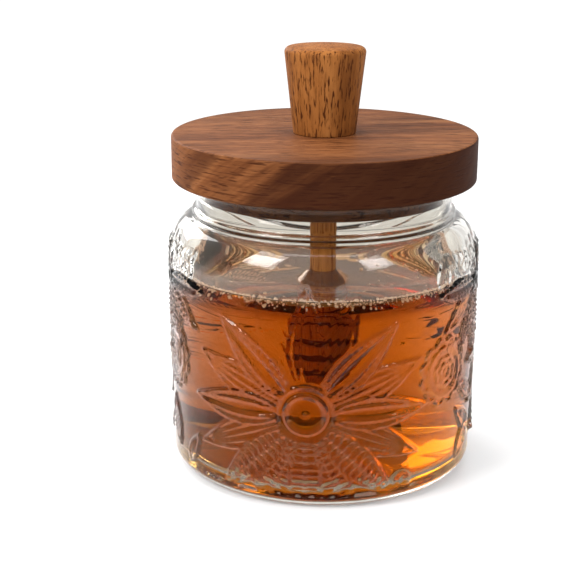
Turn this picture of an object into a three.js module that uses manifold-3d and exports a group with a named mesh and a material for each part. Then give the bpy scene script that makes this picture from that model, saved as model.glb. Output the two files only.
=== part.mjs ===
// Honey jar with a wooden lid and a honey dipper.
// A pressed-glass jar with raised flowers holds the honey. A turned wooden lid sits on the jar's rim, a tapered knob
// stands on the lid, and a grooved dipper hangs from a blind socket in the lid's underside, down into the honey.
// Millimetres, +Z up, origin at the centre of the base, front towards -Y.
import * as THREE from "three";
import { mergeVertices } from "three/addons/utils/BufferGeometryUtils.js";
import Module from "manifold-3d";

const wasm = await Module();
wasm.setup();

// Jar: outside
const WALL_RADIUS = 46.2;
const HEEL_RADIUS = 4.7;
const PUNT_RADIUS = 31;
const PUNT_DEPTH = 1.2;
const PUNT_SLOPE = 2;
const SHOULDER_START = 66.5;
const SHOULDER_RISE = 10;
const NECK_RADIUS = 38.8;
const BEAD_RADIUS = 0.9;
const RIM_HEIGHT = 87.8;
const LIP_RADIUS = 1.2;

// Jar: inside
const WALL_THICKNESS = 3.8;
const NECK_THICKNESS = 2.9;
const FLOOR_HEIGHT = 4.6;
const FLOOR_CORNER = 6;
const INNER_WALL = WALL_RADIUS - WALL_THICKNESS;
const INNER_NECK = NECK_RADIUS - NECK_THICKNESS;

// Raised flowers on the jar's wall
const FLOWER_COUNT = 3;
const FLOWER_AZIMUTH = -7;
const FLOWER_HEIGHTS = [30.5, 36, 34];
const PETAL_COUNT = 16;
const PETAL_REACH = 38;
const PETAL_ROOT = 5;
const PETAL_HALF_WIDTH = 4.6;
const FRONT_PETAL_RELIEF = 0.9;
const BACK_PETAL_RELIEF = 0.5;
const DISC_RADIUS = 8.6;
const DISC_RELIEF = 1.0;
const ROSETTE_OFFSET = 57;
const ROSETTE_HEIGHT = 37;
const ROSETTE_RADIUS = 9.3;
const ROSETTE_SCALLOP = 1.5;
const SCALLOP_COUNT = 12;
const ROSETTE_RELIEF = 0.6;
const BOSS_RADIUS = 4.4;
const BOSS_RELIEF = 1.0;
const PAD_ROOT = 43.2;
const PAD_END = 49;
const RELIEF_BOTTOM = HEEL_RADIUS + 0.3;
const RELIEF_TOP = SHOULDER_START - 0.3;

// Honey
const HONEY_LEVEL = 57;
const HONEY_CLIMB = 4.7;
const CLIMB_WIDTH = 7;
const HONEY_GAP = 0.3;
const COLLAR_RADIUS = 8.2;
const COLLAR_RISE = 2.6;

// Dipper
const STICK_RADIUS = 3.9;
const HEAD_RADIUS = 7.7;
const HEAD_CENTRE = 38.5;
const HEAD_ABOVE = 19;
const HEAD_BELOW = 12.4;
const GROOVE_COUNT = 4;
const GROOVE_PITCH = 5.2;
const LOWEST_GROOVE = 30.8;
const GROOVE_WIDTH = 1.8;
const GROOVE_DEPTH = 2.2;
const RIB_ROUND = 0.5;

// Lid and knob
const LID_RADIUS = 45.5;
const LID_THICKNESS = 13.1;
const LID_EDGE = 0.8;
const PLUG_RADIUS = 35.3;
const PLUG_DEPTH = 5.4;
const SOCKET_DEPTH = 9;
const SOCKET_GAP = 0.3;
const LID_TOP = RIM_HEIGHT + LID_THICKNESS;
const KNOB_TOP_RADIUS = 12;
const KNOB_BASE_RADIUS = 9.35;
const KNOB_HEIGHT = 26;
const KNOB_EDGE = 2;
const KNOB_CROWN = 0.6;

// Facets round the axis
const JAR_FACETS = 60;
const LID_FACETS = 60;
const SMALL_FACETS = 26;

const rad = THREE.MathUtils.degToRad;
const point = (r, z) => new THREE.Vector2(r, z);

// Points of an elliptical arc in the profile plane, angles in degrees from the outward direction.
function arc(centreR, centreZ, halfR, halfZ, from, to, steps) {
  return Array.from({ length: steps + 1 }, (_, i) => {
    const a = rad(from + ((to - from) * i) / steps);
    return point(centreR + halfR * Math.cos(a), centreZ + halfZ * Math.sin(a));
  });
}

// A solid of revolution about +Z from a profile that starts and ends on the axis.
function turned(profile, facets) {
  return new THREE.LatheGeometry(profile, facets).rotateX(Math.PI / 2);
}

function toSolid(geometry) {
  const bare = geometry.index ? geometry.toNonIndexed() : geometry.clone();
  bare.deleteAttribute("normal");
  bare.deleteAttribute("uv");
  const merged = mergeVertices(bare, 1e-4);
  return new wasm.Manifold(
    new wasm.Mesh({
      numProp: 3,
      vertProperties: merged.attributes.position.array,
      triVerts: new Uint32Array(merged.index.array),
    }),
  );
}

function toGeometry(solid) {
  const mesh = solid.getMesh();
  return new THREE.BufferGeometry()
    .setAttribute("position", new THREE.BufferAttribute(mesh.vertProperties, 3))
    .setIndex(new THREE.BufferAttribute(mesh.triVerts, 1));
}

// Glass wall: base with a shallow punt, rounded heel, straight wall, shoulder, bead, neck and rounded rim.
function jarProfile() {
  const bead = RIM_HEIGHT - 9.6;
  const shoulderReach = WALL_RADIUS - NECK_RADIUS - BEAD_RADIUS / 2;
  const innerShoulderReach = INNER_WALL - INNER_NECK;
  return [
    point(0, PUNT_DEPTH),
    point(PUNT_RADIUS, PUNT_DEPTH),
    point(PUNT_RADIUS + PUNT_SLOPE, 0),
    ...arc(WALL_RADIUS - HEEL_RADIUS, HEEL_RADIUS, HEEL_RADIUS, HEEL_RADIUS, -90, 0, 4),
    ...arc(WALL_RADIUS - shoulderReach, SHOULDER_START, shoulderReach, SHOULDER_RISE, 0, 90, 5),
    ...arc(NECK_RADIUS, bead, BEAD_RADIUS, BEAD_RADIUS, -40, 90, 2),
    point(NECK_RADIUS - 0.5, bead + 2.2),
    point(NECK_RADIUS - 0.3, RIM_HEIGHT - LIP_RADIUS),
    ...arc(NECK_RADIUS - 0.3 - LIP_RADIUS, RIM_HEIGHT - LIP_RADIUS, LIP_RADIUS, LIP_RADIUS, 30, 90, 2),
    point(INNER_NECK + 0.6, RIM_HEIGHT),
    point(INNER_NECK, RIM_HEIGHT - 0.7),
    ...arc(INNER_NECK, SHOULDER_START - 2, innerShoulderReach, SHOULDER_RISE, 90, 0, 4),
    ...arc(INNER_WALL - FLOOR_CORNER, FLOOR_HEIGHT + FLOOR_CORNER, FLOOR_CORNER, FLOOR_CORNER, 0, -90, 4),
    point(0, FLOOR_HEIGHT),
  ];
}

// Outline of one pointed petal, along +X from its root to its tip, centred on the petal's middle.
function petalOutline(reach, halfWidth, direction) {
  const steps = 4;
  const middle = (PETAL_ROOT + reach) / 2;
  const side = (sign) =>
    Array.from({ length: steps }, (_, i) => {
      const t = (sign > 0 ? i : steps - i) / steps;
      const along = PETAL_ROOT + (reach - PETAL_ROOT) * t - middle;
      const across = sign * halfWidth * Math.sin(Math.PI * Math.pow(t, 0.8));
      return point(along, across).rotateAround(point(0, 0), direction);
    });
  return [...side(1), ...side(-1)];
}

function scallopedOutline(radius, scallop, count) {
  const steps = count * 2;
  return Array.from({ length: steps }, (_, i) => {
    const a = (2 * Math.PI * i) / steps;
    const r = radius + scallop * Math.abs(Math.sin((count * a) / 2));
    return point(r * Math.cos(a), r * Math.sin(a));
  });
}

const roundOutline = (radius) => scallopedOutline(radius, 0, 10);

// A pad of that outline standing out of the wall at an azimuth and height. Azimuth 0 is the front, + to the right.
function pad(outline, azimuth, height) {
  const out = new THREE.Vector3(Math.sin(azimuth), -Math.cos(azimuth), 0);
  const along = new THREE.Vector3(Math.cos(azimuth), Math.sin(azimuth), 0);
  const place = new THREE.Matrix4().makeBasis(along, new THREE.Vector3(0, 0, 1), out);
  place.setPosition(out.clone().multiplyScalar(PAD_ROOT).setZ(height));
  const depth = PAD_END - PAD_ROOT;
  const prism = new THREE.ExtrudeGeometry(new THREE.Shape(outline), { depth, bevelEnabled: false });
  return toSolid(prism.applyMatrix4(place));
}

// The pads' tops follow the wall: each layer is cut to a cylinder that stands proud of it.
function layer(pads, relief) {
  const r = WALL_RADIUS + relief;
  const bounds = turned(
    [point(0, RELIEF_BOTTOM), point(r, RELIEF_BOTTOM), point(r, RELIEF_TOP), point(0, RELIEF_TOP)],
    JAR_FACETS,
  );
  return wasm.Manifold.union(pads).intersect(toSolid(bounds));
}

function flowerRelief(azimuth, height) {
  const rows = { front: [], back: [] };
  const middle = (PETAL_ROOT + PETAL_REACH) / 2;
  for (let i = 0; i < PETAL_COUNT; i++) {
    const direction = (2 * Math.PI * i) / PETAL_COUNT;
    const turn = azimuth + (middle * Math.cos(direction)) / WALL_RADIUS;
    const outline = petalOutline(PETAL_REACH, PETAL_HALF_WIDTH, direction);
    const row = i % 2 ? rows.back : rows.front;
    row.push(pad(outline, turn, height + middle * Math.sin(direction)));
  }
  const disc = layer([pad(roundOutline(DISC_RADIUS), azimuth, height)], DISC_RELIEF);
  return [layer(rows.back, BACK_PETAL_RELIEF), layer(rows.front, FRONT_PETAL_RELIEF), disc];
}

function rosetteRelief(azimuth) {
  const scallops = scallopedOutline(ROSETTE_RADIUS, ROSETTE_SCALLOP, SCALLOP_COUNT);
  return [
    layer([pad(scallops, azimuth, ROSETTE_HEIGHT)], ROSETTE_RELIEF),
    layer([pad(roundOutline(BOSS_RADIUS), azimuth, ROSETTE_HEIGHT)], BOSS_RELIEF),
  ];
}

function jarGeometry() {
  const relief = [];
  for (let i = 0; i < FLOWER_COUNT; i++) {
    const azimuth = rad(FLOWER_AZIMUTH + (360 * i) / FLOWER_COUNT);
    relief.push(...flowerRelief(azimuth, FLOWER_HEIGHTS[i]));
    relief.push(...rosetteRelief(azimuth + rad(ROSETTE_OFFSET)));
  }
  const glass = toSolid(turned(jarProfile(), JAR_FACETS));
  return toGeometry(wasm.Manifold.union([glass, ...relief]));
}

// Radius of the dipper's egg-shaped head at a height, before its grooves are turned.
function headRadius(z) {
  const reach = z > HEAD_CENTRE ? HEAD_ABOVE : HEAD_BELOW;
  const t = (z - HEAD_CENTRE) / reach;
  return HEAD_RADIUS * Math.sqrt(Math.max(0, 1 - t * t));
}

// Height above the head's centre at which its outline has narrowed to the stick.
const NECK_OF_HEAD = HEAD_CENTRE + HEAD_ABOVE * Math.sqrt(1 - (STICK_RADIUS / HEAD_RADIUS) ** 2);

const STICK_TOP = RIM_HEIGHT - PLUG_DEPTH + SOCKET_DEPTH - SOCKET_GAP;

function dipperProfile() {
  const profile = [point(0, HEAD_CENTRE - HEAD_BELOW)];
  const lowestRib = HEAD_CENTRE - HEAD_BELOW * 0.9;
  profile.push(point(headRadius(lowestRib), lowestRib));
  for (let i = 0; i < GROOVE_COUNT; i++) {
    const low = LOWEST_GROOVE + i * GROOVE_PITCH - GROOVE_WIDTH / 2;
    const high = low + GROOVE_WIDTH;
    const bottom = headRadius(low + GROOVE_WIDTH / 2) - GROOVE_DEPTH;
    profile.push(
      point(headRadius(low - RIB_ROUND), low - RIB_ROUND),
      point(headRadius(low) - RIB_ROUND, low),
      point(bottom, low),
      point(bottom, high),
      point(headRadius(high) - RIB_ROUND, high),
      point(headRadius(high + RIB_ROUND), high + RIB_ROUND),
    );
  }
  const lastRib = LOWEST_GROOVE + (GROOVE_COUNT - 1) * GROOVE_PITCH + GROOVE_PITCH / 2;
  for (let i = 0; i < 3; i++) {
    const z = lastRib + ((NECK_OF_HEAD - lastRib) * i) / 3;
    profile.push(point(headRadius(z), z));
  }
  profile.push(point(STICK_RADIUS, NECK_OF_HEAD), point(STICK_RADIUS, STICK_TOP), point(0, STICK_TOP));
  return profile;
}

// The space the dipper takes out of the honey: its outline without grooves, and a little larger.
function dipperSpace() {
  const stick = STICK_RADIUS + HONEY_GAP;
  const head = HEAD_RADIUS + HONEY_GAP;
  const stickAngle = THREE.MathUtils.radToDeg(Math.acos(stick / head));
  const above = HONEY_LEVEL + 2 * COLLAR_RISE;
  const profile = [
    ...arc(0, HEAD_CENTRE, head, HEAD_BELOW + HONEY_GAP, -90, 0, 6),
    ...arc(0, HEAD_CENTRE, head, HEAD_ABOVE + HONEY_GAP, 0, stickAngle, 5),
    point(stick, above),
    point(0, above),
  ];
  return turned(profile, SMALL_FACETS);
}

// Honey: fills the jar to its level, climbs a little at the glass and in a collar round the stick.
function honeyGeometry() {
  const outer = INNER_WALL - HONEY_GAP;
  const floor = FLOOR_HEIGHT + HONEY_GAP;
  const climbSteps = 4;
  const climb = Array.from({ length: climbSteps + 1 }, (_, i) => {
    const t = i / climbSteps;
    return point(outer - CLIMB_WIDTH * t, HONEY_LEVEL + HONEY_CLIMB * Math.pow(1 - t, 2.6));
  });
  const profile = [
    point(0, floor),
    ...arc(outer - FLOOR_CORNER, floor + FLOOR_CORNER, FLOOR_CORNER, FLOOR_CORNER, -90, 0, 4),
    ...climb,
    point(COLLAR_RADIUS, HONEY_LEVEL),
    point((COLLAR_RADIUS + STICK_RADIUS) / 2, HONEY_LEVEL + COLLAR_RISE / 3),
    point(STICK_RADIUS + 0.9, HONEY_LEVEL + COLLAR_RISE),
    point(0, HONEY_LEVEL + COLLAR_RISE),
  ];
  const body = toSolid(turned(profile, JAR_FACETS));
  return toGeometry(body.subtract(toSolid(dipperSpace())));
}

// Lid: a disc with eased edges, a plug that drops into the neck, and a blind socket for the dipper's stick.
function lidGeometry() {
  const plugFace = RIM_HEIGHT - PLUG_DEPTH;
  const socket = STICK_RADIUS + SOCKET_GAP;
  return turned(
    [
      point(0, plugFace + SOCKET_DEPTH),
      point(socket, plugFace + SOCKET_DEPTH),
      point(socket, plugFace),
      point(PLUG_RADIUS - LID_EDGE, plugFace),
      point(PLUG_RADIUS, plugFace + LID_EDGE),
      point(PLUG_RADIUS, RIM_HEIGHT),
      ...arc(LID_RADIUS - LID_EDGE, RIM_HEIGHT + LID_EDGE, LID_EDGE, LID_EDGE, -90, 0, 2),
      ...arc(LID_RADIUS - LID_EDGE, LID_TOP - LID_EDGE, LID_EDGE, LID_EDGE, 0, 90, 2),
      point(0, LID_TOP),
    ],
    LID_FACETS,
  );
}

// Knob: a taper that widens upwards to a rounded, slightly crowned top.
function knobGeometry() {
  const top = LID_TOP + KNOB_HEIGHT;
  return turned(
    [
      point(0, LID_TOP),
      point(KNOB_BASE_RADIUS - 0.3, LID_TOP),
      point(KNOB_BASE_RADIUS, LID_TOP + 0.4),
      ...arc(KNOB_TOP_RADIUS - KNOB_EDGE, top - KNOB_CROWN - KNOB_EDGE, KNOB_EDGE, KNOB_EDGE, 0, 75, 4),
      point(0, top),
    ],
    SMALL_FACETS,
  );
}

const MATERIALS = {
  glass: new THREE.MeshStandardMaterial({ color: 0xe8ece8, roughness: 0.03, metalness: 0, transparent: true, opacity: 0.35 }),
  honey: new THREE.MeshStandardMaterial({ color: 0xb05a08, roughness: 0.08, metalness: 0 }),
  darkWood: new THREE.MeshStandardMaterial({ color: 0x7d4a26, roughness: 0.55, metalness: 0 }),
  paleWood: new THREE.MeshStandardMaterial({ color: 0xae6c34, roughness: 0.6, metalness: 0 }),
};

function piece(name, geometry, material) {
  const mesh = new THREE.Mesh(geometry, material);
  mesh.name = name;
  return mesh;
}

const honeyJar = new THREE.Group();
honeyJar.name = "honey_jar";
honeyJar.add(
  piece("jar", jarGeometry(), MATERIALS.glass),
  piece("honey", honeyGeometry(), MATERIALS.honey),
  piece("dipper", turned(dipperProfile(), SMALL_FACETS), MATERIALS.paleWood),
  piece("lid", lidGeometry(), MATERIALS.darkWood),
  piece("knob", knobGeometry(), MATERIALS.paleWood),
);

export default honeyJar;
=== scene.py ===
"""Honey jar with a wooden lid and a honey dipper, dressed for rendering.

The pressed-glass jar carries raised flowers, the honey fills it up to a froth line, and the lid, knob and
dipper are turned wood. Sizes are millimetres unless a name says otherwise, in the frame's own axes: +Z up,
front towards -Y. Azimuths are degrees round the jar, 0 at the front and positive to the right.
"""
import math

import bmesh
import bpy
import numpy as np
from mathutils import Matrix, Vector


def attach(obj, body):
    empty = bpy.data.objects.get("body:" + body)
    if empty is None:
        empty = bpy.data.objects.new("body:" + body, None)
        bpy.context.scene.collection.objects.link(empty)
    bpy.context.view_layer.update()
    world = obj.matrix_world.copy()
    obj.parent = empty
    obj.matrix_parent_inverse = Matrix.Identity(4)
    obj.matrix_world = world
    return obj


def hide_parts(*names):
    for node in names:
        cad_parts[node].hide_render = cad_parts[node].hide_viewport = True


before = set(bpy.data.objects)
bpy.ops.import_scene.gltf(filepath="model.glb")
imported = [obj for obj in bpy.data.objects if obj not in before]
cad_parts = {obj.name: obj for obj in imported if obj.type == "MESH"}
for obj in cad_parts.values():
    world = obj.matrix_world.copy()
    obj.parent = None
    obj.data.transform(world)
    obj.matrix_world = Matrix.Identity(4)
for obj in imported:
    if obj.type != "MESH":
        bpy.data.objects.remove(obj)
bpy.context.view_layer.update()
MM = 0.001

# Camera, angles in radians
CAMERA_DISTANCE = 400.6
CAMERA_HEIGHT = 174.7
CAMERA_YAW = -0.0266
CAMERA_PITCH = 0.2962
CAMERA_ROLL = 0.0037
SENSOR_WIDTH = 36.0
LENS = 85.1

# Jar
WALL_RADIUS = 46.2
HEEL_RADIUS = 4.7
PUNT_RADIUS = 31.0
PUNT_DEPTH = 1.2
SHOULDER_START = 66.5
SHOULDER_RISE = 10.0
NECK_RADIUS = 38.8
BEAD_RADIUS = 0.9
BEAD_HEIGHT = 78.2
RIM_HEIGHT = 87.8
LIP_RADIUS = 1.2
INNER_WALL = 42.4
INNER_NECK = 35.9
FLOOR_HEIGHT = 4.6
FLOOR_CORNER = 4.2
JAR_COLUMNS = 512
RELIEF_ROWS = 120
# Painted shade: the clear glass is greyed so that it looks as dark as the surroundings it shows
GLASS_SHADE_TINT = (0.78, 0.76, 0.71, 1.0)
GLASS_IOR = 1.5

# Share of the usual reflection on the plain wall and on the slopes of the pattern
PLAIN_GLEAM = 0.05
FLANK_GLEAM = 0.7
FLAT_ENOUGH = 0.975
FLANK_RANGE = 0.1

# Raised pattern: places are (azimuth, height) pairs
FLOWERS = ((-5.5, 29.3), (113.0, 36.0), (233.0, 34.0))
PETAL_COUNT = 16
PETAL_ROOT = 5.0
PETAL_REACH = 38.0
PETAL_HALF_WIDTH = 5.1
FAINT_PETALS = 0.25
PETAL_PHASE = 2.4
LINE_BREADTH = 1.3
DISC_RADIUS = 8.6
ROSETTES = ((50.0, 37.0), (170.0, 37.0), (290.0, 37.0))
ROSETTE_RADIUS = 9.3
ROSETTE_SCALLOP = 1.5
SPRAYS = ((-76.0, 60.0), (74.0, 60.0), (180.0, 64.0))
SPRAY_PETALS = 12
SPRAY_ROOT = 1.5
SPRAY_REACH = 24.0
SPRAY_HALF_WIDTH = 3.4
SPRAY_DISC = 2.6
BUDS = ((30.0, 7.0), (150.0, 9.0), (270.0, 9.0))
BUD_RADIUS = 3.3
OVALS = ((49.0, 65.5), (-58.0, 67.0))
RELIEF_BOTTOM = 4.0
RELIEF_BOTTOM_FADE = 5.0
RELIEF_TOP = 71.5
RELIEF_TOP_FADE = 2.0

# The back stays plain above the honey, this many radians to each side
BACK_REACH = 1.5
BACK_FADE = 0.3
BACK_RISE = 8.0

# Leaves: azimuth and height of the root, direction in degrees, and length
LEAVES = (
    (60.0, 6.5, 55.0, 15.0),
    (72.0, 14.0, 140.0, 15.0),
    (74.0, 24.0, 150.0, 14.0),
    (-66.0, 8.0, 110.0, 17.0),
    (-58.0, 5.5, 60.0, 13.0),
    (185.0, 8.0, 100.0, 18.0),
    (-20.0, 4.5, 118.0, 12.0),
)
LEAF_SLENDERNESS = 0.2

# Honey
HONEY_LEVEL = 57.0
HONEY_CLIMB = 4.7
CLIMB_WIDTH = 7.0
CLIMB_CURVE = 2.6
HONEY_INTO_WALL = 0.15
SURFACE_HAZE = 0.15
SURFACE_TINT = (1.0, 0.9, 0.78, 1.0)
HONEY_COLOUR = (0.895, 0.685, 0.06, 1.0)
HONEY_DENSITY = 90.0
HONEY_IOR = 1.4
HONEY_COLUMNS = 192
COLLAR_RADIUS = 8.4
COLLAR_RISE = 2.6
WET_LINE = HONEY_LEVEL + HONEY_CLIMB

# Dipper
STICK_RADIUS = 3.9
STICK_TOP = 91.1
HEAD_RADIUS = 7.7
HEAD_CENTRE = 38.5
HEAD_ABOVE = 19.0
HEAD_BELOW = 12.4
HEAD_FULLNESS = 2.6
GROOVE_COUNT = 4
GROOVE_PITCH = 5.2
LOWEST_GROOVE = 30.8
GROOVE_WIDTH = 1.8
GROOVE_DEPTH = 2.2
# Painted shade: how far the dipper's grooves are darkened towards the dark tone
PAINTED_GROOVE_SHADE = 0.9
# How much darker the stick is from a little below the honey line up to the collar's top, and how far below
# the line that starts
COLLAR_DARKENING = 0.65
DARKENED_BELOW = 3.0
HEAD_STEP = 0.15
DIPPER_COLUMNS = 72

# Lid and knob
LID_RADIUS = 45.5
LID_TOP = 100.9
LID_EDGE = 0.7
PLUG_RADIUS = 35.3
PLUG_FACE = 82.4
SOCKET_RADIUS = 4.2
SOCKET_DEPTH = 9.0
KNOB_BASE_RADIUS = 9.35
KNOB_TOP_RADIUS = 12.0
KNOB_TOP = 126.9
KNOB_EDGE = 1.6
KNOB_CROWN = 0.6
LID_COLUMNS = 180
KNOB_COLUMNS = 96

# Wood tones, and the dark heartwood on the lid's rim, measured the way round it
BLACK = (0.0, 0.0, 0.0)
WHITE = (1.0, 1.0, 1.0)
# A dark tone for the dipper: painted shade in its grooves, and the darker band at the honey line
GROOVE_SHADE_AND_COLLAR_TONE = (0.2, 0.06, 0.016)
HEART_TONE = (0.03, 0.008, 0.0035)
HEART_LEAN = 1.2
HEART_WANDER = 0.05
HEART_SHARE = 0.9
RIM_SLANT = (0.0, -0.6, 0.0)
TOP_SLANT = (0.0, 0.0, 0.12)
NO_SLANT = (0.0, 0.0, 0.0)
HEART_START = -118.0
HEART_FULL = -90.0
HEART_END = 80.0
HEART_GONE = 125.0

# Froth
FROTH_COUNT = 2400
FROTH_SMALLEST = 0.13
FROTH_SPREAD = 0.36
# Painted glow on the froth and the surface bubbles, for the light scattered in them
FROTH_PAINTED_GLOW = 0.14
BALL_FINENESS = 2
SURFACE_BUBBLES = 60
BUBBLES_START = 11
BUBBLES_BREADTH = 28
random_draw = np.random.default_rng(7)

# Studio
FRONT_GLOW = 0.2
BACK_GLOW = 1.1
GLOW_START = 0.0
GLOW_END = 0.75
FLOOR_HALF = 550.0
FLOOR_DROP = 0.05
FLOOR_GLOW = 0.28

# Softboxes, in metres: name, place, target, size and watts
LIGHT_TARGET = (0, 0, 0.08)
LOW_TARGET = (0, 0, 0.04)
SOFTBOXES = (
    ("left_softbox", (-0.5, -0.4, 0.55), LIGHT_TARGET, (0.3, 0.4), 7.0),
    ("right_softbox", (0.45, -0.45, 0.55), LIGHT_TARGET, (0.25, 0.35), 3.0),
    ("top_softbox", (0.0, -0.1, 0.9), LIGHT_TARGET, (0.6, 0.4), 3.2),
    ("back_softbox", (-0.5, 0.65, 0.5), LOW_TARGET, (0.6, 0.55), 8.0),
)


# Meshes

def arc(centre_r, centre_z, half_r, half_z, start, end, steps):
    """Points of an elliptical arc in the profile plane, angles in degrees from the outward direction."""
    angles = np.radians(np.linspace(start, end, steps + 1))
    return [(centre_r + half_r * math.cos(a), centre_z + half_z * math.sin(a)) for a in angles]


def line(start, end, steps):
    """Evenly spaced points from start up to, but without, end."""
    return [
        (start[0] + (end[0] - start[0]) * i / steps, start[1] + (end[1] - start[1]) * i / steps)
        for i in range(steps)
    ]


def profile_normals(profile):
    """Unit normals of a profile that runs anticlockwise round its solid, seen with r to the right."""
    points = np.array(profile)
    tangent = np.gradient(points, axis=0)
    normal = np.stack([tangent[:, 1], -tangent[:, 0]], axis=1)
    return normal / np.maximum(np.linalg.norm(normal, axis=1, keepdims=True), 1e-9)


def revolve(name, profile, columns, relief=None):
    """A closed mesh turned about +Z from a profile that starts and ends on the axis.

    relief, if given, holds a height for each profile point and column, added along the profile's normal.
    """
    points = np.array(profile)
    rings = points[1:-1]
    angle = 2 * np.pi * np.arange(columns) / columns
    radius = np.repeat(rings[:, :1], columns, axis=1)
    height = np.repeat(rings[:, 1:], columns, axis=1)
    if relief is not None:
        normal = profile_normals(profile)[1:-1]
        radius = radius + relief[1:-1] * normal[:, :1]
        height = height + relief[1:-1] * normal[:, 1:]
    across = radius * np.sin(angle)
    towards = -radius * np.cos(angle)
    grid = np.stack([across, towards, height], axis=2).reshape(-1, 3)
    ends = np.array([[0, 0, points[0, 1]], [0, 0, points[-1, 1]]])
    vertices = np.concatenate([grid, ends]) * MM

    count = len(rings)
    here = np.arange(count * columns).reshape(count, columns)
    beside = np.roll(here, -1, axis=1)
    quads = np.stack([here[:-1], beside[:-1], beside[1:], here[1:]], axis=2).reshape(-1, 4)
    first = count * columns
    last = first + 1
    start_fan = np.stack([np.full(columns, first), beside[0], here[0]], axis=1)
    end_fan = np.stack([here[-1], beside[-1], np.full(columns, last)], axis=1)
    return mesh_object(name, vertices, quads.tolist() + start_fan.tolist() + end_fan.tolist())


def mesh_object(name, vertices, faces):
    """A smooth-shaded mesh in the scene, from corners in metres."""
    mesh = bpy.data.meshes.new(name)
    mesh.from_pydata(vertices.tolist(), [], faces)
    mesh.update()
    mesh.polygons.foreach_set("use_smooth", np.ones(len(mesh.polygons), dtype=bool))
    piece = bpy.data.objects.new(name, mesh)
    bpy.context.scene.collection.objects.link(piece)
    return piece


def dress(piece, node, material):
    """Give a piece its material, let it stand for a node and ride on the one body."""
    piece.data.materials.append(material)
    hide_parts(node)
    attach(piece, "root")


def face_places(piece):
    """Radius and height of every face's middle, in millimetres."""
    middles = np.zeros(3 * len(piece.data.polygons))
    piece.data.polygons.foreach_get("center", middles)
    middles = middles.reshape(-1, 3) / MM
    return np.hypot(middles[:, 0], middles[:, 1]), middles[:, 2]


def face_leans(piece):
    """How far each face looks straight out from the axis: 1 is straight out, less is a slope."""
    count = 3 * len(piece.data.polygons)
    normals = np.zeros(count)
    piece.data.polygons.foreach_get("normal", normals)
    middles = np.zeros(count)
    piece.data.polygons.foreach_get("center", middles)
    normals = normals.reshape(-1, 3)
    outwards = middles.reshape(-1, 3) * (1, 1, 0)
    outwards /= np.maximum(np.linalg.norm(outwards, axis=1, keepdims=True), 1e-9)
    return np.sum(normals * outwards, axis=1)


def face_values(piece, name, values):
    """Store a number for every face, for the material to read."""
    attribute = piece.data.attributes.new(name, "FLOAT", "FACE")
    attribute.data.foreach_set("value", values.astype(np.float32))


# Relief of the pressed glass: heights in millimetres over the unrolled wall

def ridge(distance, width):
    """A rounded line of height 1."""
    return np.exp(-((distance / (LINE_BREADTH * width)) ** 2))


def step(distance, width):
    """A soft step from 0 to 1 over a width."""
    t = np.clip(distance / width, 0, 1)
    return t * t * (3 - 2 * t)


def unrolled(along, up, azimuth, height):
    """Offsets from a motif's centre, measured along the wall."""
    turn = (along - math.radians(azimuth) + math.pi) % (2 * math.pi) - math.pi
    return turn * WALL_RADIUS, up - height


def petal_space(x, y, direction, root, reach, half_width):
    """Place along a petal, offset across it, its half width there and the depth inside its edge."""
    u = x * math.cos(direction) + y * math.sin(direction)
    v = y * math.cos(direction) - x * math.sin(direction)
    t = np.clip((u - root) / (reach - root), 0, 1)
    w = half_width * np.sin(np.pi * t ** 0.8)
    return u, v, w, np.where((t > 0) & (t < 1), w - np.abs(v), -9.0)


# All petal shapes take the same values, so that a flower can pick any of them

def front_petal(u, v, w, inside, phase):
    """A raised petal with an edge line, two veins that meet at the tip, and a ladder outside them."""
    lines = 0.7 * ridge(inside - 0.5, 0.45)
    lines += 0.6 * ridge(np.abs(v) - 0.4 * w, 0.45) * step(w - 1.2, 1.0)
    rungs = 0.35 * np.maximum(0, np.cos(2 * np.pi * u / 2.0 + phase)) * step(w - 2.2, 1.0)
    ladder = rungs * ridge(np.abs(v) - 0.66 * w, 0.7)
    return step(inside + 0.2, 0.8) * (0.15 + lines + ladder)


def back_petal(u, v, w, inside, phase):
    """A lower petal with an edge line and three veins that meet at the tip."""
    lines = 0.65 * ridge(inside - 0.45, 0.42)
    for share in (-0.42, 0.0, 0.42):
        lines += 0.5 * ridge(v - share * w, 0.42) * step(w - 1.6, 1.2)
    return step(inside + 0.2, 0.8) * (0.12 + lines)


def ladder_petal(u, v, w, inside, phase):
    """A petal below the flower's centre: bold edges, a middle rib and rungs between them."""
    rungs = 0.5 * np.maximum(0, np.cos(2 * np.pi * u / 2.2 + phase)) * step(inside - 0.9, 0.6)
    lines = 0.7 * ridge(inside - 0.5, 0.45) + 0.55 * ridge(v, 0.45)
    return step(inside + 0.2, 0.8) * (0.12 + lines + rungs)


def flower(x, y, count, root, reach, half_width, disc):
    """Petals round a ringed disc, every second one in front, the upright ones faint."""
    height = np.zeros_like(x)
    for layer in (1, 0):
        for i in range(layer, count, 2):
            direction = 2 * math.pi * i / count
            space = petal_space(x, y, direction, root, reach, half_width)
            below = math.sin(direction) < -0.5
            shape = ladder_petal if below else (back_petal if layer else front_petal)
            cover = step(space[3] + 0.2, 0.5)
            depth = FAINT_PETALS if math.sin(direction) > 0.9 else 1.0
            height = height * (1 - cover) + depth * shape(*space, PETAL_PHASE * i) * cover
    rho = np.hypot(x, y)
    rings = 0.7 * ridge(rho - disc * 0.97, 0.5)
    rings += 0.7 * ridge(rho - disc * 0.66, 0.5)
    rings += 0.4 * ridge(rho, 0.5)
    cover = step(disc + 0.5 - rho, 0.7)
    return height * (1 - cover) + (0.15 + rings) * cover


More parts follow.
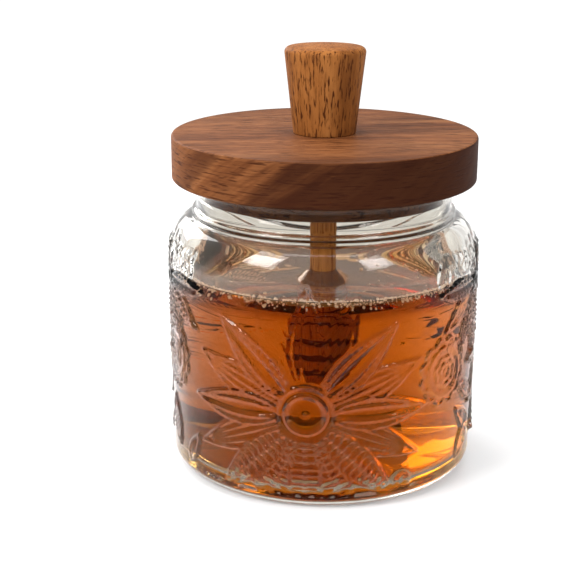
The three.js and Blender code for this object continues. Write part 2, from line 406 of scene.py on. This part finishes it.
def rosette(x, y):
    """A scalloped disc with rings, one of them wavy."""
    rho = np.hypot(x, y)
    phi = np.arctan2(y, x)
    inside = ROSETTE_RADIUS + ROSETTE_SCALLOP * np.abs(np.sin(6 * phi)) - rho
    lines = 0.6 * ridge(inside - 0.45, 0.4)
    lines += 0.5 * ridge(rho - 7.3, 0.42) + 0.3 * ridge(rho - 6.2, 0.36)
    lines += 0.45 * ridge(rho - 4.2 - 0.35 * np.sin(7 * phi), 0.4)
    lines += 0.4 * ridge(rho - 2.2, 0.4) + 0.3 * ridge(rho, 0.5)
    return step(inside + 0.2, 0.8) * (0.22 + lines)


def bud(x, y):
    """A small ringed disc filled with beads."""
    rho = np.hypot(x, y)
    beads = 0.28 * np.cos(2.6 * x) * np.cos(2.6 * y) * step(BUD_RADIUS - 0.9 - rho, 0.6)
    return step(BUD_RADIUS + 0.3 - rho, 0.6) * (0.3 + 0.35 * ridge(rho - BUD_RADIUS + 0.2, 0.42) + beads)


def oval(x, y):
    """Two upright ovals, one in the other, with a rib in the middle."""
    rho = np.hypot(x / 0.66, y)
    lines = 0.5 * ridge(rho - 5.0, 0.5) + 0.4 * ridge(rho - 3.2, 0.45)
    lines += 0.3 * ridge(x, 0.35) * step(3 - rho, 0.6)
    return step(5.5 - rho, 0.7) * (0.18 + lines)


def leaf(x, y, direction, reach):
    space = petal_space(x, y, math.radians(direction), 0.0, reach, LEAF_SLENDERNESS * reach)
    return back_petal(*space, 0.0)


def wall_relief(along, up):
    """Height of the pressed pattern at each azimuth (radians) and height on the wall."""
    height = np.zeros_like(along)
    for azimuth, z, direction, reach in LEAVES:
        height = np.maximum(height, leaf(*unrolled(along, up, azimuth, z), direction, reach))
    for azimuth, z in SPRAYS:
        x, y = unrolled(along, up, azimuth, z)
        spray = flower(x, y, SPRAY_PETALS, SPRAY_ROOT, SPRAY_REACH, SPRAY_HALF_WIDTH, SPRAY_DISC)
        height = np.maximum(height, spray)
    for azimuth, z in FLOWERS:
        x, y = unrolled(along, up, azimuth, z)
        near = flower(x, y, PETAL_COUNT, PETAL_ROOT, PETAL_REACH, PETAL_HALF_WIDTH, DISC_RADIUS)
        height = np.maximum(height, near)
    for motif, places in ((rosette, ROSETTES), (bud, BUDS), (oval, OVALS)):
        for azimuth, z in places:
            height = np.maximum(height, motif(*unrolled(along, up, azimuth, z)))
    return height


# Pieces

def jar_profile():
    """From the middle of the underside, up the outside, over the lip and down to the middle of the floor."""
    reach = WALL_RADIUS - NECK_RADIUS - BEAD_RADIUS / 2
    heel = WALL_RADIUS - HEEL_RADIUS
    lip = NECK_RADIUS - 0.3 - LIP_RADIUS
    return [
        (0, PUNT_DEPTH),
        *line((2, PUNT_DEPTH), (PUNT_RADIUS, PUNT_DEPTH), 3),
        *arc(PUNT_RADIUS, 0, 2, PUNT_DEPTH, 90, 0, 3),
        *arc(heel, HEEL_RADIUS, HEEL_RADIUS, HEEL_RADIUS, -90, 0, 9),
        *line((WALL_RADIUS, HEEL_RADIUS + 0.4), (WALL_RADIUS, SHOULDER_START), RELIEF_ROWS),
        *arc(WALL_RADIUS - reach, SHOULDER_START, reach, SHOULDER_RISE, 0, 90, 16),
        *arc(NECK_RADIUS, BEAD_HEIGHT, BEAD_RADIUS, BEAD_RADIUS, -40, 100, 5),
        (NECK_RADIUS - 0.45, BEAD_HEIGHT + 1.3),
        (NECK_RADIUS - 0.5, BEAD_HEIGHT + 2.4),
        (NECK_RADIUS - 0.3, BEAD_HEIGHT + 4.4),
        *arc(lip, RIM_HEIGHT - LIP_RADIUS, LIP_RADIUS, LIP_RADIUS, 0, 90, 4),
        *arc(INNER_NECK + 0.7, RIM_HEIGHT - 0.7, 0.7, 0.7, 90, 180, 3),
        *arc(INNER_NECK, SHOULDER_START - 2, INNER_WALL - INNER_NECK, SHOULDER_RISE, 90, 0, 16),
        *arc(INNER_WALL - FLOOR_CORNER, FLOOR_HEIGHT + FLOOR_CORNER, FLOOR_CORNER, FLOOR_CORNER, 0, -90, 7),
        (0, FLOOR_HEIGHT),
    ]


def relief_fade(along, rise):
    """Share of the pattern's height: none low on the heel, high on the shoulder, or high at the back."""
    fade = step(rise - RELIEF_BOTTOM, RELIEF_BOTTOM_FADE) * step(RELIEF_TOP - rise, RELIEF_TOP_FADE)
    from_back = np.abs(along - np.pi)
    return fade * (1 - step(BACK_REACH - from_back, BACK_FADE) * step(rise - HONEY_LEVEL, BACK_RISE))


def make_jar():
    profile = jar_profile()
    points = np.array(profile)
    outside = points[:, 0] > INNER_WALL + 0.5
    walked = np.concatenate([[0], np.cumsum(np.linalg.norm(np.diff(points, axis=0), axis=1))])
    wall_start = np.flatnonzero(points[:, 0] >= WALL_RADIUS - 1e-6)[0]
    up = walked - walked[wall_start] + HEEL_RADIUS
    angle = 2 * np.pi * np.arange(JAR_COLUMNS) / JAR_COLUMNS
    along, rise = np.meshgrid(angle, up)
    relief = wall_relief(along, rise) * relief_fade(along, rise) * outside[:, None]
    jar = revolve("glass_jar", profile, JAR_COLUMNS, relief)
    radius, height = face_places(jar)
    wet = (radius < INNER_WALL + 0.01) & (height > PUNT_DEPTH + 1) & (height < WET_LINE)
    flank = np.clip((FLAT_ENOUGH - face_leans(jar)) / FLANK_RANGE, 0, 1)
    face_values(jar, "gleam", np.where(wet, 0.0, PLAIN_GLEAM + (FLANK_GLEAM - PLAIN_GLEAM) * flank))
    return jar


def make_honey():
    outer = INNER_WALL + HONEY_INTO_WALL
    floor = FLOOR_HEIGHT - HONEY_INTO_WALL
    collar = [
        (COLLAR_RADIUS + (STICK_RADIUS - COLLAR_RADIUS) * t, HONEY_LEVEL + COLLAR_RISE * step(t, 1.0))
        for t in np.linspace(0, 1, 14)
    ]
    climb = [
        (outer - CLIMB_WIDTH * t, HONEY_LEVEL + HONEY_CLIMB * (1 - t) ** CLIMB_CURVE)
        for t in np.linspace(0.02, 1, 48)
    ]
    profile = [
        (0, floor),
        *line((3, floor), (outer - FLOOR_CORNER, floor), 3),
        *arc(outer - FLOOR_CORNER, floor + FLOOR_CORNER, FLOOR_CORNER, FLOOR_CORNER, -90, 0, 10),
        *line((outer, floor + FLOOR_CORNER + 1), (outer, WET_LINE), 6),
        (outer, WET_LINE),
        *climb,
        *line((outer - CLIMB_WIDTH - 2, HONEY_LEVEL), (COLLAR_RADIUS + 0.3, HONEY_LEVEL), 6),
        *collar,
        (STICK_RADIUS - 0.4, HONEY_LEVEL + COLLAR_RISE),
        (0, HONEY_LEVEL + COLLAR_RISE),
    ]
    honey = revolve("honey_fill", profile, HONEY_COLUMNS)
    radius, height = face_places(honey)
    open_surface = (radius < INNER_WALL) & (height > FLOOR_HEIGHT + FLOOR_CORNER)
    face_values(honey, "gleam", open_surface)
    return honey


def head_radius(z):
    """Outline of the dipper's head, a little fuller than an ellipse."""
    reach = HEAD_ABOVE if z > HEAD_CENTRE else HEAD_BELOW
    share = max(0.0, 1 - abs((z - HEAD_CENTRE) / reach) ** HEAD_FULLNESS)
    return HEAD_RADIUS * share ** (1 / HEAD_FULLNESS)


def dipper_radius(z):
    """The head's outline with soft-edged grooves, and the stick above it."""
    radius = head_radius(z)
    for i in range(GROOVE_COUNT):
        away = abs(z - LOWEST_GROOVE - i * GROOVE_PITCH)
        radius -= GROOVE_DEPTH * float(1 - step(np.float64(away - GROOVE_WIDTH / 2 + 0.25), 0.5))
    return max(radius, STICK_RADIUS) if z > HEAD_CENTRE + 0.5 * HEAD_ABOVE else radius


def make_dipper():
    low = HEAD_CENTRE - HEAD_BELOW
    neck = HEAD_CENTRE + HEAD_ABOVE
    profile = [(0, low)]
    heights = low + HEAD_STEP * np.arange(1, int((neck - low) / HEAD_STEP))
    profile += [(dipper_radius(z), z) for z in heights]
    profile += line((STICK_RADIUS, neck), (STICK_RADIUS, STICK_TOP - 0.4), 30)
    profile += arc(STICK_RADIUS - 0.4, STICK_TOP - 0.4, 0.4, 0.4, 0, 90, 3)
    profile += [(0, STICK_TOP)]
    dipper = revolve("dipper_wood", profile, DIPPER_COLUMNS)
    radius, height = face_places(dipper)
    outline = np.array([head_radius(z) for z in height])
    # The grooves get painted shade
    cut = (outline - radius > 0.5 * GROOVE_DEPTH) & (height < HEAD_CENTRE + 0.5 * HEAD_ABOVE)
    cut &= height > LOWEST_GROOVE - GROOVE_WIDTH
    # The stick is darker from a little below the honey line up to the collar's top
    near_collar = (height > HONEY_LEVEL - DARKENED_BELOW) & (height < HONEY_LEVEL + COLLAR_RISE)
    face_values(dipper, "shade", np.maximum(cut * PAINTED_GROOVE_SHADE, near_collar * COLLAR_DARKENING))
    return dipper


def make_lid():
    edge = LID_RADIUS - LID_EDGE
    profile = [
        (0, PLUG_FACE + SOCKET_DEPTH),
        (SOCKET_RADIUS - 0.2, PLUG_FACE + SOCKET_DEPTH),
        (SOCKET_RADIUS, PLUG_FACE + SOCKET_DEPTH - 0.2),
        (SOCKET_RADIUS, PLUG_FACE + 0.2),
        (SOCKET_RADIUS + 0.2, PLUG_FACE),
        *line((SOCKET_RADIUS + 0.6, PLUG_FACE), (PLUG_RADIUS - 1.2, PLUG_FACE), 4),
        *arc(PLUG_RADIUS - 0.8, PLUG_FACE + 0.8, 0.8, 0.8, -90, 0, 4),
        (PLUG_RADIUS, RIM_HEIGHT - 0.1),
        (PLUG_RADIUS + 0.1, RIM_HEIGHT),
        (PLUG_RADIUS + 0.6, RIM_HEIGHT),
        (edge - 0.4, RIM_HEIGHT),
        *arc(edge, RIM_HEIGHT + LID_EDGE, LID_EDGE, LID_EDGE, -90, 0, 4),
        (LID_RADIUS, RIM_HEIGHT + LID_EDGE + 0.4),
        (LID_RADIUS, LID_TOP - LID_EDGE - 0.4),
        *arc(edge, LID_TOP - LID_EDGE, LID_EDGE, LID_EDGE, 0, 90, 4),
        *line((edge - 0.4, LID_TOP), (2, LID_TOP), 6),
        (0, LID_TOP),
    ]
    return revolve("lid_wood", profile, LID_COLUMNS)


def split_lid_wood(lid):
    """Give the lid's rim and its underside their own cut of the wood."""
    lid.data.materials.append(rim_material())
    lid.data.materials.append(underside_material())
    radius, height = face_places(lid)
    rim = (radius > LID_RADIUS - LID_EDGE) & (height > RIM_HEIGHT) & (height < LID_TOP - 0.3 * LID_EDGE)
    underside = (radius < PLUG_RADIUS - 0.3) & (height < PLUG_FACE + 0.5)
    lid.data.polygons.foreach_set("material_index", (rim + 2 * underside).astype(np.int32))


def make_knob():
    side = KNOB_TOP - KNOB_CROWN - KNOB_EDGE
    profile = [
        (0, LID_TOP),
        (KNOB_BASE_RADIUS - 0.6, LID_TOP),
        *arc(KNOB_BASE_RADIUS - 0.4, LID_TOP + 0.4, 0.4, 0.4, -90, 0, 3),
        *line((KNOB_BASE_RADIUS + 0.1, LID_TOP + 1.4), (KNOB_TOP_RADIUS, side), 8),
        *arc(KNOB_TOP_RADIUS - KNOB_EDGE, side, KNOB_EDGE, KNOB_EDGE, 0, 78, 6),
        (KNOB_TOP_RADIUS * 0.6, KNOB_TOP - 0.25),
        (KNOB_TOP_RADIUS * 0.3, KNOB_TOP - 0.06),
        (0, KNOB_TOP),
    ]
    return revolve("knob_wood", profile, KNOB_COLUMNS)


def bubbles(name, centres, radii, subdivisions):
    """Many small balls as one mesh."""
    ball = bmesh.new()
    bmesh.ops.create_icosphere(ball, subdivisions=subdivisions, radius=1.0)
    corners = np.array([v.co[:] for v in ball.verts])
    faces = np.array([[v.index for v in f.verts] for f in ball.faces])
    ball.free()
    vertices = (centres[:, None, :] + corners[None] * radii[:, None, None]).reshape(-1, 3)
    shifts = len(corners) * np.arange(len(centres))
    return mesh_object(name, vertices * MM, (faces[None] + shifts[:, None, None]).reshape(-1, 3).tolist())


def make_froth():
    """A band of fine bubbles where the honey meets the glass."""
    azimuth = random_draw.uniform(0, 2 * np.pi, FROTH_COUNT)
    size = FROTH_SMALLEST + FROTH_SPREAD * random_draw.power(0.6, FROTH_COUNT)
    inwards = np.minimum(random_draw.exponential(0.35, FROTH_COUNT), 2.2)
    radius = INNER_WALL + HONEY_INTO_WALL - size - inwards
    height = WET_LINE + 0.4 - 0.7 * inwards - random_draw.exponential(0.7, FROTH_COUNT)
    centres = np.stack([radius * np.sin(azimuth), -radius * np.cos(azimuth), height], axis=1)
    return bubbles("froth", centres, size, BALL_FINENESS)


def make_surface_bubbles():
    """Sparse bubbles resting in the honey's surface."""
    azimuth = random_draw.uniform(0, 2 * np.pi, SURFACE_BUBBLES)
    radius = BUBBLES_START + BUBBLES_BREADTH * np.sqrt(random_draw.uniform(0, 1, SURFACE_BUBBLES))
    size = random_draw.uniform(0.25, 0.7, SURFACE_BUBBLES)
    height = HONEY_LEVEL - 0.35 * size
    centres = np.stack([radius * np.sin(azimuth), -radius * np.cos(azimuth), height], axis=1)
    return bubbles("surface_bubbles", centres, size, BALL_FINENESS)


# Materials

def new_material(name):
    """An empty Principled material: its node tree, shader and output."""
    material = bpy.data.materials.new(name)
    material.use_nodes = True
    tree = material.node_tree
    tree.nodes.clear()
    shader = tree.nodes.new("ShaderNodeBsdfPrincipled")
    output = tree.nodes.new("ShaderNodeOutputMaterial")
    tree.links.new(shader.outputs["BSDF"], output.inputs["Surface"])
    return material, tree, shader, output


def arithmetic(tree, operation, first, second):
    """One arithmetic node; second is a number or another node's output."""
    node = tree.nodes.new("ShaderNodeMath")
    node.operation = operation
    tree.links.new(first, node.inputs[0])
    if isinstance(second, float):
        node.inputs[1].default_value = second
    else:
        tree.links.new(second, node.inputs[1])
    return node.outputs["Value"]


def face_value(tree, name):
    """A number that was stored for every face."""
    node = tree.nodes.new("ShaderNodeAttribute")
    node.attribute_name = name
    return node.outputs["Fac"]


def glass_material():
    """Clear glass, greyed by a painted shade tint; gleam is the share of the usual reflection, face by face.
    """
    material, tree, shader, _ = new_material("glass")
    shader.inputs["Base Color"].default_value = GLASS_SHADE_TINT
    shader.inputs["Roughness"].default_value = 0.0
    shader.inputs["IOR"].default_value = GLASS_IOR
    shader.inputs["Transmission Weight"].default_value = 1.0
    tree.links.new(face_value(tree, "gleam"), shader.inputs["Specular Tint"])
    return material


def honey_material():
    """Honey: it reflects and is a little cloudy at its open surface, and absorbs blue and green inside."""
    material, tree, shader, output = new_material("honey")
    shader.inputs["Base Color"].default_value = SURFACE_TINT
    shader.inputs["Roughness"].default_value = 0.0
    shader.inputs["IOR"].default_value = HONEY_IOR
    gleam = face_value(tree, "gleam")
    tree.links.new(gleam, shader.inputs["Specular Tint"])
    cloud = arithmetic(tree, "MULTIPLY", gleam, -SURFACE_HAZE)
    clear = arithmetic(tree, "ADD", cloud, 1.0)
    tree.links.new(clear, shader.inputs["Transmission Weight"])
    absorb = tree.nodes.new("ShaderNodeVolumeAbsorption")
    absorb.inputs["Color"].default_value = HONEY_COLOUR
    absorb.inputs["Density"].default_value = HONEY_DENSITY
    tree.links.new(absorb.outputs["Volume"], output.inputs["Volume"])
    return material


def froth_material():
    """Pale bubbles with a painted glow, which stands in for the light scattered inside them."""
    material, _, shader, _ = new_material("froth")
    shader.inputs["Base Color"].default_value = (0.92, 0.74, 0.58, 1.0)
    shader.inputs["Roughness"].default_value = 0.15
    shader.inputs["IOR"].default_value = 1.45
    shader.inputs["Transmission Weight"].default_value = 0.4
    shader.inputs["Emission Color"].default_value = (1.0, 0.82, 0.68, 1.0)
    shader.inputs["Emission Strength"].default_value = FROTH_PAINTED_GLOW
    return material


def object_place(tree):
    """The place on the piece, in metres."""
    return tree.nodes.new("ShaderNodeTexCoord").outputs["Object"]


def unrolled_place(tree):
    """The lid's rim laid out flat: the way round it, nothing, and the height."""
    parts = tree.nodes.new("ShaderNodeSeparateXYZ")
    tree.links.new(object_place(tree), parts.inputs["Vector"])
    front = arithmetic(tree, "MULTIPLY", parts.outputs["Y"], -1.0)
    turn = arithmetic(tree, "ARCTAN2", parts.outputs["X"], front)
    flat = tree.nodes.new("ShaderNodeCombineXYZ")
    tree.links.new(arithmetic(tree, "MULTIPLY", turn, LID_RADIUS * MM), flat.inputs["X"])
    tree.links.new(parts.outputs["Z"], flat.inputs["Z"])
    return flat.outputs["Vector"]


def smooth_range(tree, value, start, end, start_result, end_result):
    """A soft step between two results as the value goes from start to end."""
    node = tree.nodes.new("ShaderNodeMapRange")
    node.interpolation_type = "SMOOTHSTEP"
    node.inputs["From Min"].default_value = start
    node.inputs["From Max"].default_value = end
    node.inputs["To Min"].default_value = start_result
    node.inputs["To Max"].default_value = end_result
    tree.links.new(value, node.inputs["Value"])
    return node.outputs["Result"]


def stretched_noise(tree, place, lengths, detail, turn=NO_SLANT):
    """Noise with its own feature length, in metres, along each axis of a turned frame."""
    mapping = tree.nodes.new("ShaderNodeMapping")
    mapping.vector_type = "TEXTURE"
    mapping.inputs["Scale"].default_value = lengths
    mapping.inputs["Rotation"].default_value = turn
    tree.links.new(place, mapping.inputs["Vector"])
    noise = tree.nodes.new("ShaderNodeTexNoise")
    noise.inputs["Scale"].default_value = 1.0
    noise.inputs["Detail"].default_value = detail
    noise.inputs["Roughness"].default_value = 0.6
    tree.links.new(mapping.outputs["Vector"], noise.inputs["Vector"])
    return noise.outputs["Fac"]


def ramp(tree, value, stops):
    """A colour ramp from (place, colour) pairs."""
    node = tree.nodes.new("ShaderNodeValToRGB")
    elements = node.color_ramp.elements
    while len(elements) < len(stops):
        elements.new(0.5)
    for element, (place, colour) in zip(elements, stops):
        element.position = place
        element.color = (*colour, 1.0)
    tree.links.new(value, node.inputs["Fac"])
    return node.outputs["Color"]


def blend(tree, share, below, tone):
    """Lay a plain tone over a colour, by a share."""
    node = tree.nodes.new("ShaderNodeMix")
    node.data_type = "RGBA"
    tree.links.new(share, node.inputs["Factor"])
    tree.links.new(below, node.inputs["A"])
    node.inputs["B"].default_value = (*tone, 1.0)
    return node.outputs["Result"]


def wood_material(name, place_of, long_axis, tones, pore_tone, streak_tone, slant):
    """Oiled wood: growth bands, fibres and pores along its long axis, and dark streaks at a slant to it."""
    material, tree, shader, _ = new_material(name)
    place = place_of(tree)

    def along(fine, drawn_out):
        return tuple(drawn_out if axis == long_axis else fine for axis in range(3))

    bands = stretched_noise(tree, place, along(0.006, 0.07), 4.0, slant)
    colour = ramp(tree, bands, [(0.3, tones[0]), (0.5, tones[1]), (0.7, tones[2])])
    fibres = stretched_noise(tree, place, along(0.0009, 0.02), 3.0)
    colour = blend(tree, ramp(tree, fibres, [(0.42, BLACK), (0.75, (0.7, 0.7, 0.7))]), colour, tones[0])
    streak = stretched_noise(tree, place, along(0.012, 0.09), 3.0, slant)
    colour = blend(tree, ramp(tree, streak, [(0.5, BLACK), (0.68, (0.8, 0.8, 0.8))]), colour, streak_tone)
    pores = stretched_noise(tree, place, along(0.0006, 0.007), 2.0)
    pore_share = ramp(tree, pores, [(0.53, BLACK), (0.64, WHITE)])
    colour = blend(tree, pore_share, colour, pore_tone)
    tree.links.new(colour, shader.inputs["Base Color"])

    bump = tree.nodes.new("ShaderNodeBump")
    bump.invert = True
    bump.inputs["Strength"].default_value = 0.3
    bump.inputs["Distance"].default_value = 0.0003
    tree.links.new(pore_share, bump.inputs["Height"])
    tree.links.new(bump.outputs["Normal"], shader.inputs["Normal"])
    shader.inputs["Roughness"].default_value = 0.55
    shader.inputs["Specular IOR Level"].default_value = 0.03
    return material, tree, shader, place, colour


def lid_wood(name, place_of, slant):
    """The lid's dark wood, grained along x."""
    return wood_material(
        name,
        place_of,
        long_axis=0,
        tones=((0.1, 0.031, 0.01), (0.21, 0.075, 0.025), (0.29, 0.117, 0.043)),
        pore_tone=(0.06, 0.018, 0.006),
        streak_tone=(0.07, 0.022, 0.008),
        slant=slant,
    )


def lid_material():
    return lid_wood("lid_wood", object_place, TOP_SLANT)[0]


def rim_material():
    """The lid's rim: long grain all round, with dark heartwood on the right that leans as it rises."""
    material, tree, shader, place, colour = lid_wood("rim_wood", unrolled_place, RIM_SLANT)
    parts = tree.nodes.new("ShaderNodeSeparateXYZ")
    tree.links.new(place, parts.inputs["Vector"])
    lean = arithmetic(tree, "MULTIPLY", parts.outputs["Z"], -HEART_LEAN)
    across = arithmetic(tree, "ADD", parts.outputs["X"], lean)
    wander = stretched_noise(tree, place, (0.03, 0.03, 0.006), 3.0, RIM_SLANT)
    edge = arithmetic(tree, "ADD", across, arithmetic(tree, "MULTIPLY", wander, HEART_WANDER))
    begins = smooth_range(tree, edge, HEART_START * MM, HEART_FULL * MM, 0.0, HEART_SHARE)
    ends = smooth_range(tree, parts.outputs["X"], HEART_END * MM, HEART_GONE * MM, 1.0, 0.0)
    share = arithmetic(tree, "MULTIPLY", begins, ends)
    tree.links.new(blend(tree, share, colour, HEART_TONE), shader.inputs["Base Color"])
    return material


def underside_material():
    """The lid's hidden face over the honey: the same wood, quieter."""
    return wood_material(
        "underside_wood",
        object_place,
        long_axis=0,
        tones=((0.19, 0.08, 0.034), (0.22, 0.094, 0.04), (0.25, 0.108, 0.046)),
        pore_tone=(0.16, 0.066, 0.028),
        streak_tone=(0.19, 0.08, 0.034),
        slant=NO_SLANT,
    )[0]


def knob_material():
    return wood_material(
        "knob_wood",
        object_place,
        long_axis=2,
        tones=((0.17, 0.056, 0.014), (0.3, 0.108, 0.026), (0.38, 0.148, 0.04)),
        pore_tone=(0.07, 0.02, 0.006),
        streak_tone=(0.18, 0.062, 0.016),
        slant=NO_SLANT,
    )[0]


def dipper_material():
    """Pale wood, with painted shade in the grooves and darker where the honey meets the stick."""
    material, tree, shader, _, colour = wood_material(
        "dipper_wood",
        object_place,
        long_axis=2,
        tones=((0.62, 0.24, 0.065), (0.9, 0.4, 0.12), (0.95, 0.5, 0.18)),
        pore_tone=(0.36, 0.12, 0.03),
        streak_tone=(0.6, 0.26, 0.07),
        slant=NO_SLANT,
    )
    # Painted shade in the grooves, and the darker band at the honey line
    colour = blend(tree, face_value(tree, "shade"), colour, GROOVE_SHADE_AND_COLLAR_TONE)
    tree.links.new(colour, shader.inputs["Base Color"])
    return material


def floor_material():
    """A pale light table: it glows, so the shadow on it stays faint."""
    material, _, shader, _ = new_material("floor")
    shader.inputs["Base Color"].default_value = (0.62, 0.62, 0.62, 1.0)
    shader.inputs["Roughness"].default_value = 0.4
    shader.inputs["Emission Color"].default_value = (1.0, 1.0, 1.0, 1.0)
    shader.inputs["Emission Strength"].default_value = FLOOR_GLOW
    return material


# Studio

def add_floor():
    half = FLOOR_HALF * MM
    low = -FLOOR_DROP * MM
    corners = np.array([[-half, -half, low], [half, -half, low], [half, half, low], [-half, half, low]])
    floor = mesh_object("floor", corners, [[0, 1, 2, 3]])
    floor.data.materials.append(floor_material())


def add_area(name, place, target, size, power):
    light = bpy.data.lights.new(name, "AREA")
    light.shape = "RECTANGLE"
    light.size, light.size_y = size
    light.energy = power
    lamp = bpy.data.objects.new(name, light)
    lamp.location = place
    lamp.rotation_euler = (Vector(target) - Vector(place)).to_track_quat("-Z", "Y").to_euler()
    bpy.context.scene.collection.objects.link(lamp)


def add_lights():
    """A bright backdrop that dims towards the front, and four softboxes."""
    world = bpy.data.worlds.new("studio")
    bpy.context.scene.world = world
    world.use_nodes = True
    tree = world.node_tree
    direction = tree.nodes.new("ShaderNodeTexCoord").outputs["Generated"]
    parts = tree.nodes.new("ShaderNodeSeparateXYZ")
    tree.links.new(direction, parts.inputs["Vector"])
    glow = smooth_range(tree, parts.outputs["Y"], GLOW_START, GLOW_END, FRONT_GLOW, BACK_GLOW)
    tree.nodes["Background"].inputs["Color"].default_value = (1.0, 1.0, 1.0, 1.0)
    tree.links.new(glow, tree.nodes["Background"].inputs["Strength"])
    for name, place, target, size, power in SOFTBOXES:
        add_area(name, place, target, size, power)


def add_camera():
    """The view of the photo."""
    yaw, pitch, roll = CAMERA_YAW, CAMERA_PITCH, CAMERA_ROLL
    ahead = Vector((math.sin(yaw) * math.cos(pitch), math.cos(yaw) * math.cos(pitch), -math.sin(pitch)))
    right = Vector((math.cos(yaw), -math.sin(yaw), 0))
    up = right.cross(ahead)
    rolled_right = right * math.cos(roll) + up * math.sin(roll)
    rolled_up = up * math.cos(roll) - right * math.sin(roll)
    data = bpy.data.cameras.new("camera")
    data.sensor_fit = "HORIZONTAL"
    data.sensor_width = SENSOR_WIDTH
    data.lens = LENS
    camera = bpy.data.objects.new("camera", data)
    turn = Matrix((rolled_right, rolled_up, -ahead)).transposed().to_4x4()
    camera.matrix_world = Matrix.Translation((0, -CAMERA_DISTANCE * MM, CAMERA_HEIGHT * MM)) @ turn
    bpy.context.scene.collection.objects.link(camera)
    bpy.context.scene.camera = camera


def set_light_paths():
    """Plain colours, and enough bounces for light to cross both walls, the honey and the pattern."""
    scene = bpy.context.scene
    scene.view_settings.view_transform = "Standard"
    scene.cycles.max_bounces = 24
    scene.cycles.transmission_bounces = 24
    scene.cycles.glossy_bounces = 8
    scene.cycles.transparent_max_bounces = 24


def main():
    add_camera()
    add_lights()
    add_floor()
    set_light_paths()
    dress(make_jar(), "jar", glass_material())
    dress(make_honey(), "honey", honey_material())
    dress(make_dipper(), "dipper", dipper_material())
    lid = make_lid()
    dress(lid, "lid", lid_material())
    split_lid_wood(lid)
    dress(make_knob(), "knob", knob_material())
    froth = froth_material()
    for piece in (make_froth(), make_surface_bubbles()):
        piece.data.materials.append(froth)
        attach(piece, "root")


main()
